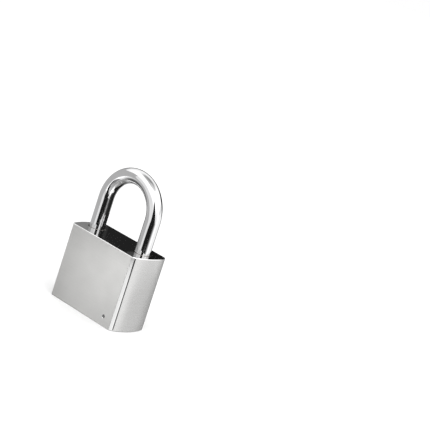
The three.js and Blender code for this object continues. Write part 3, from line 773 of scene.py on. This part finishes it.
def card(name, outline, level, rise=None, about=(0, 0), line=False):
    """A reflector panel that only shows in reflections. outline gives (azimuth, radius, bottom, top) along it, with azimuth 0
    towards -Y and 90 towards +X; level is one brightness, or (azimuth, brightness) stops; rise
    gives (height, factor) stops that trim it from bottom to top; line draws a dark line where it is seen from steeply above."""
    verts = []
    for a, r, z0, z1 in outline:
        x, y = about[0] + r * math.sin(math.radians(a)), about[1] - r * math.cos(math.radians(a))
        verts += [(x, y, z0), (x, y, z1)]
    ob = as_object(name, verts, [(2 * k, 2 * k + 2, 2 * k + 3, 2 * k + 1) for k in range(len(outline) - 1)])
    mat = plain(name, (1, 1, 1), emit=1.0)
    if isinstance(level, (int, float)):
        mat.node_tree.nodes["Principled BSDF"].inputs["Emission Strength"].default_value = level
    else:
        t = mat.node_tree
        mat.node_tree.nodes["Principled BSDF"].inputs["Emission Color"].default_value = (1, 1, 1, 1)
        co = t.nodes.new("ShaderNodeTexCoord")
        xyz = t.nodes.new("ShaderNodeSeparateXYZ")
        t.links.new(co.outputs["Object"], xyz.inputs[0])
        neg = t.nodes.new("ShaderNodeMath")
        neg.operation = "MULTIPLY"
        neg.inputs[1].default_value = -1
        t.links.new(xyz.outputs[1], neg.inputs[0])
        at2 = t.nodes.new("ShaderNodeMath")
        at2.operation = "ARCTAN2"
        t.links.new(xyz.outputs[0], at2.inputs[0])
        t.links.new(neg.outputs[0], at2.inputs[1])
        unit = t.nodes.new("ShaderNodeMath")
        unit.operation = "MULTIPLY_ADD"
        unit.inputs[1].default_value, unit.inputs[2].default_value = 1 / TAU, 0.5
        t.links.new(at2.outputs[0], unit.inputs[0])
        r = t.nodes.new("ShaderNodeValToRGB")
        fill_ramp(r, [((p + 180) / 360, v / 3) for p, v in level])
        t.links.new(unit.outputs[0], r.inputs[0])
        out = t.nodes.new("ShaderNodeMath")
        out.operation = "MULTIPLY"
        out.inputs[1].default_value = 3.0
        t.links.new(r.outputs[0], out.inputs[0])
        if rise:
            up = t.nodes.new("ShaderNodeMapRange")
            up.inputs["From Min"].default_value, up.inputs["From Max"].default_value = rise[0][0] * MM, rise[-1][0] * MM
            t.links.new(xyz.outputs[2], up.inputs["Value"])
            v = t.nodes.new("ShaderNodeValToRGB")
            fill_ramp(v, [((z - rise[0][0]) / (rise[-1][0] - rise[0][0]), f / 2) for z, f in rise])
            t.links.new(up.outputs[0], v.inputs[0])
            trim = t.nodes.new("ShaderNodeMath")
            trim.operation = "MULTIPLY"
            t.links.new(out.outputs[0], trim.inputs[0])
            t.links.new(v.outputs[0], trim.inputs[1])
            out = t.nodes.new("ShaderNodeMath")
            out.operation = "MULTIPLY"
            out.inputs[1].default_value = 2.0
            t.links.new(trim.outputs[0], out.inputs[0])
        if line:
            geo = t.nodes.new("ShaderNodeNewGeometry")
            part = t.nodes.new("ShaderNodeSeparateXYZ")
            t.links.new(geo.outputs["Incoming"], part.inputs[0])
            steep = t.nodes.new("ShaderNodeValToRGB")
            fill_ramp(steep, [(0.0, 0.0), (0.425, 0.0), (0.445, 1.0), (0.560, 1.0), (0.580, 0.0), (1.0, 0.0)])
            t.links.new(part.outputs[2], steep.inputs[0])
            side = t.nodes.new("ShaderNodeMath")
            side.operation = "DIVIDE"
            t.links.new(part.outputs[0], side.inputs[0])
            t.links.new(part.outputs[1], side.inputs[1])
            ahead = t.nodes.new("ShaderNodeMapRange")
            ahead.inputs["From Min"].default_value, ahead.inputs["From Max"].default_value = 0.56, 0.46
            t.links.new(side.outputs[0], ahead.inputs["Value"])
            cut = t.nodes.new("ShaderNodeMath")
            cut.operation = "MULTIPLY"
            t.links.new(steep.outputs[0], cut.inputs[0])
            t.links.new(ahead.outputs[0], cut.inputs[1])
            left = t.nodes.new("ShaderNodeMath")
            left.operation = "SUBTRACT"
            left.inputs[0].default_value = 1.0
            t.links.new(cut.outputs[0], left.inputs[1])
            lined = t.nodes.new("ShaderNodeMath")
            lined.operation = "MULTIPLY"
            t.links.new(out.outputs[0], lined.inputs[0])
            t.links.new(left.outputs[0], lined.inputs[1])
            out = lined
        t.links.new(out.outputs[0], mat.node_tree.nodes["Principled BSDF"].inputs["Emission Strength"])
    mat.cycles.emission_sampling = "NONE"
    ob.data.materials.append(mat)
    for flag in ("visible_camera", "visible_diffuse", "visible_shadow", "visible_transmission", "visible_volume_scatter"):
        setattr(ob, flag, False)
    return ob


def arc(az0, az1, r, z0, z1, steps=24):
    return [(az0 + (az1 - az0) * k / steps, r, z0, z1) for k in range(steps + 1)]


FAR = 400
# what the shackle sees: a grey wall on the left, a pale strip, a dark one in front, and light again on the right
card("card_left", arc(-112, -39, FAR, -60, 260), 0.50)
card("card_left_low", [(-39, FAR, -60, 20), (-30, FAR, -60, -6), (-20.5, FAR, -60, -33)], 0.50)
card("card_pale_high", [(-39, FAR, 20, 230), (-30, FAR, -6, 215), (-20.5, FAR, -33, 200)], 0.90)
card("card_pale", arc(-20.5, 9, FAR, -60, 200), 0.90)
card("card_dark", [(9, FAR, -236, -44), (12, FAR, -226, -38), (15.8, FAR, -220, -30), (20.3, FAR, -216, 40), (26.9, FAR, -213, 139),
                   (33.4, FAR, -208, 249), (39.0, FAR, -202, 380), (43.0, FAR, -184, 475), (44.6, FAR, -172, 390)], 0.014)
card("card_dark_mid", [(44.6, FAR, -60, 390), (45.6, FAR, -60, 330), (50.3, FAR, -60, 195), (57, FAR, -60, 135), (62, FAR, -60, 105), (65, FAR, -64, 82)], 0.014)
card("card_dark_side", [(65, FAR, -72, 82), (68, FAR, -74, 62)], 0.014)
card("card_ramp", [(68, FAR, -74, 62), (72, FAR, -74, 30), (77, FAR, -72, 0), (84, FAR, -68, -18), (92, FAR, -64, -26), (99, FAR, -62, -28)],
     [(66, 0.014), (80, 0.20), (90, 0.80), (99, 1.20)])
card("card_dark_low", [(-4, FAR, -242, -142), (3, FAR, -242, -134), (9, FAR, -236, -118)], 0.014)
card("card_right", arc(99, 165, FAR, -60, 120), [(99, 1.24), (112, 1.32), (123, 1.12), (138, 1.06), (152, 1.20), (165, 1.15)])
# what the front face sees, lower down
card("card_low", arc(-100, -4, 160, -150, -2.5), [(-100, 0.20), (-62, 0.18), (-52, 0.22), (-44, 0.68), (-37, 1.28), (-27, 1.38), (-14, 1.20), (-4, 1.10)],
     rise=[(-150, 0.64), (-60, 0.72), (-30, 0.96), (-10, 1.40), (-2.5, 1.80)], line=True)
card("card_shade", arc(-29, -6, 157, -120, -26), 0.26)
# what the flat top sees
card("card_dark_back", arc(-200, -134, 262, 44, 190), [(-180, 0.010), (-143, 0.012), (-138, 0.022), (-134, 0.06), (180, 0.010)])
card("card_grey_back", arc(226, 250, 262, 44, 190), 0.30)
# a dark screen behind the shackle's window, a strip behind the toe leg's foot, and a dim one between the legs
screen = as_object("card_window", [(-11.8, 29.5, 39.2), (10.2, 6.8, 39.2), (10.2, 6.8, 68), (-11.8, 29.5, 68)], [(0, 1, 2, 3)])
near = as_object("card_near", [(-20, 11.6, 39.1), (7, 11.6, 39.1), (7, 11.6, 46), (-20, 11.6, 46)], [(0, 1, 2, 3)])
between = as_object("card_between", [(7, 0.2, 42.2), (7, 6.6, 42.2), (7, 6.6, 60), (7, 0.2, 60)], [(0, 1, 2, 3)])
aside = as_object("card_aside", [(10, -27.5, 41), (10, -13.5, 41), (10, -13.5, 49.3), (10, -27.5, 49.3)], [(0, 1, 2, 3)])
for ob, v in ((screen, 0.02), (near, 0.02), (between, 0.07), (aside, 0.014)):
    dark = plain(ob.name, (1, 1, 1), emit=v)
    dark.cycles.emission_sampling = "NONE"
    ob.data.materials.append(dark)
    for flag in ("visible_camera", "visible_diffuse", "visible_shadow", "visible_transmission", "visible_volume_scatter"):
        setattr(ob, flag, False)

# the small one beside the bend only shows from its -X side
nt = aside.data.materials[0].node_tree
geo = nt.nodes.new("ShaderNodeNewGeometry")
parts = nt.nodes.new("ShaderNodeSeparateXYZ")
nt.links.new(geo.outputs["Incoming"], parts.inputs[0])
beyond = nt.nodes.new("ShaderNodeMath")
beyond.operation = "GREATER_THAN"
beyond.inputs[1].default_value = 0.0
nt.links.new(parts.outputs[0], beyond.inputs[0])
mix = nt.nodes.new("ShaderNodeMixShader")
nt.links.new(beyond.outputs[0], mix.inputs[0])
nt.links.new(nt.nodes["Principled BSDF"].outputs[0], mix.inputs[1])
nt.links.new(nt.nodes.new("ShaderNodeBsdfTransparent").outputs[0], mix.inputs[2])
nt.links.new(mix.outputs[0], nt.nodes["Material Output"].inputs[0])

# the surroundings, by direction: azimuth sets the brightness, height trims it. The floor is only lit, never reflected.
AROUND = [(-180, 0.62), (-110, 0.62), (-60, 0.80), (-38, 0.95), (-15, 1.05), (10, 1.10), (40, 1.45), (64, 1.50), (76, 1.20), (92, 1.25), (98, 1.68), (108, 1.62), (115, 1.02), (152, 0.98), (165, 0.76), (180, 0.58)]
world = bpy.data.worlds.new("world")
SCENE.world = world
world.use_nodes = True
world.cycles.sampling_method = "NONE"
wt = world.node_tree
wt.nodes.clear()


def wmath(op, a, b=0.0):
    n = wt.nodes.new("ShaderNodeMath")
    n.operation = op
    for k, v in enumerate((a, b)):
        if isinstance(v, (int, float)):
            n.inputs[k].default_value = v
        else:
            wt.links.new(v, n.inputs[k])
    return n.outputs[0]


def wramp(fac, stops):
    r = wt.nodes.new("ShaderNodeValToRGB")
    fill_ramp(r, [(p, v / 2.5) for p, v in stops])
    wt.links.new(fac, r.inputs[0])
    return wmath("MULTIPLY", r.outputs[0], 2.5)


wc = wt.nodes.new("ShaderNodeTexCoord")
sep = wt.nodes.new("ShaderNodeSeparateXYZ")
wt.links.new(wc.outputs["Generated"], sep.inputs[0])
turn = wmath("ARCTAN2", sep.outputs[0], wmath("MULTIPLY", sep.outputs[1], -1.0))
turn = wmath("ADD", wmath("DIVIDE", turn, TAU), 0.5)
glow = wramp(turn, [((a + 180) / 360, v) for a, v in AROUND])
glow = wmath("MULTIPLY", glow, wramp(wmath("ADD", wmath("MULTIPLY", sep.outputs[2], 0.5), 0.5), [(0.0, 0.42), (0.10, 0.46), (0.15, 0.52), (0.24, 0.78), (0.40, 0.95), (0.5, 1.0), (0.62, 1.08), (0.70, 1.45), (0.76, 2.0), (0.88, 2.3), (0.93, 1.9), (0.965, 0.80), (1.0, 0.62)]))
# it is dark below and behind, where the underside of the toe's bend looks
rear = wramp(turn, [(0.0, 1.0), (0.05, 1.0), (0.07, 0.0), (0.90, 0.0), (0.92, 1.0), (1.0, 1.0)])
below = wramp(wmath("ADD", wmath("MULTIPLY", sep.outputs[2], 0.5), 0.5), [(0.0, 0.97), (0.192, 0.97), (0.206, 0.0), (1.0, 0.0)])
glow = wmath("MULTIPLY", glow, wmath("SUBTRACT", 1.0, wmath("MULTIPLY", rear, below)))
path = wt.nodes.new("ShaderNodeLightPath")
level = wmath("MULTIPLY", wmath("MULTIPLY", glow, 0.8), path.outputs["Is Glossy Ray"])
level = wmath("ADD", level, wmath("MULTIPLY", path.outputs["Is Diffuse Ray"], 1.16))
level = wmath("ADD", level, wmath("MULTIPLY", path.outputs["Is Camera Ray"], 1.0))
bg = wt.nodes.new("ShaderNodeBackground")
bg.inputs["Color"].default_value = (1, 1, 1, 1)
wt.links.new(level, bg.inputs["Strength"])
wo = wt.nodes.new("ShaderNodeOutputWorld")
wt.links.new(bg.outputs[0], wo.inputs[0])
floor.visible_glossy = False


def area(name, az, el, dist, size, power, glossy=True, target=(0, 0, 30)):
    data = bpy.data.lights.new(name, "AREA")
    data.shape, data.size, data.energy = "DISK", size * MM, power
    ob = bpy.data.objects.new(name, data)
    a, e = math.radians(az), math.radians(el)
    at = Vector(target) * MM + Vector((math.sin(a) * math.cos(e), -math.cos(a) * math.cos(e), math.sin(e))) * dist * MM
    ob.location = at
    ob.rotation_euler = (at - Vector(target) * MM).to_track_quat("Z", "Y").to_euler()
    ob.visible_camera = False
    ob.visible_glossy = glossy
    SCENE.collection.objects.link(ob)
    return ob


area("key", 62, 40, 900, 420, 1.2)

SCENE.view_settings.view_transform = "Standard"
SCENE.view_settings.look = "None"

az, el, roll = (math.radians(v) for v in (37.87017508, 11.98830052, 18.50572223))
back_v = Vector((math.sin(az) * math.cos(el), -math.cos(az) * math.cos(el), math.sin(el)))
right_v = Vector((0, 0, 1)).cross(back_v).normalized()
up_v = back_v.cross(right_v)
r2 = math.cos(roll) * right_v + math.sin(roll) * up_v
u2 = -math.sin(roll) * right_v + math.cos(roll) * up_v
cam_data = bpy.data.cameras.new("camera")
cam_data.lens, cam_data.sensor_width = 116.061, 36.0
cam_data.clip_start, cam_data.clip_end = 0.01, 50
camera = bpy.data.objects.new("camera", cam_data)
camera.matrix_world = Matrix((
    (r2.x, u2.x, back_v.x, 0.44506282),
    (r2.y, u2.y, back_v.y, -0.50494855),
    (r2.z, u2.z, back_v.z, 0.20942605),
    (0, 0, 0, 1)))
SCENE.collection.objects.link(camera)
SCENE.camera = camera
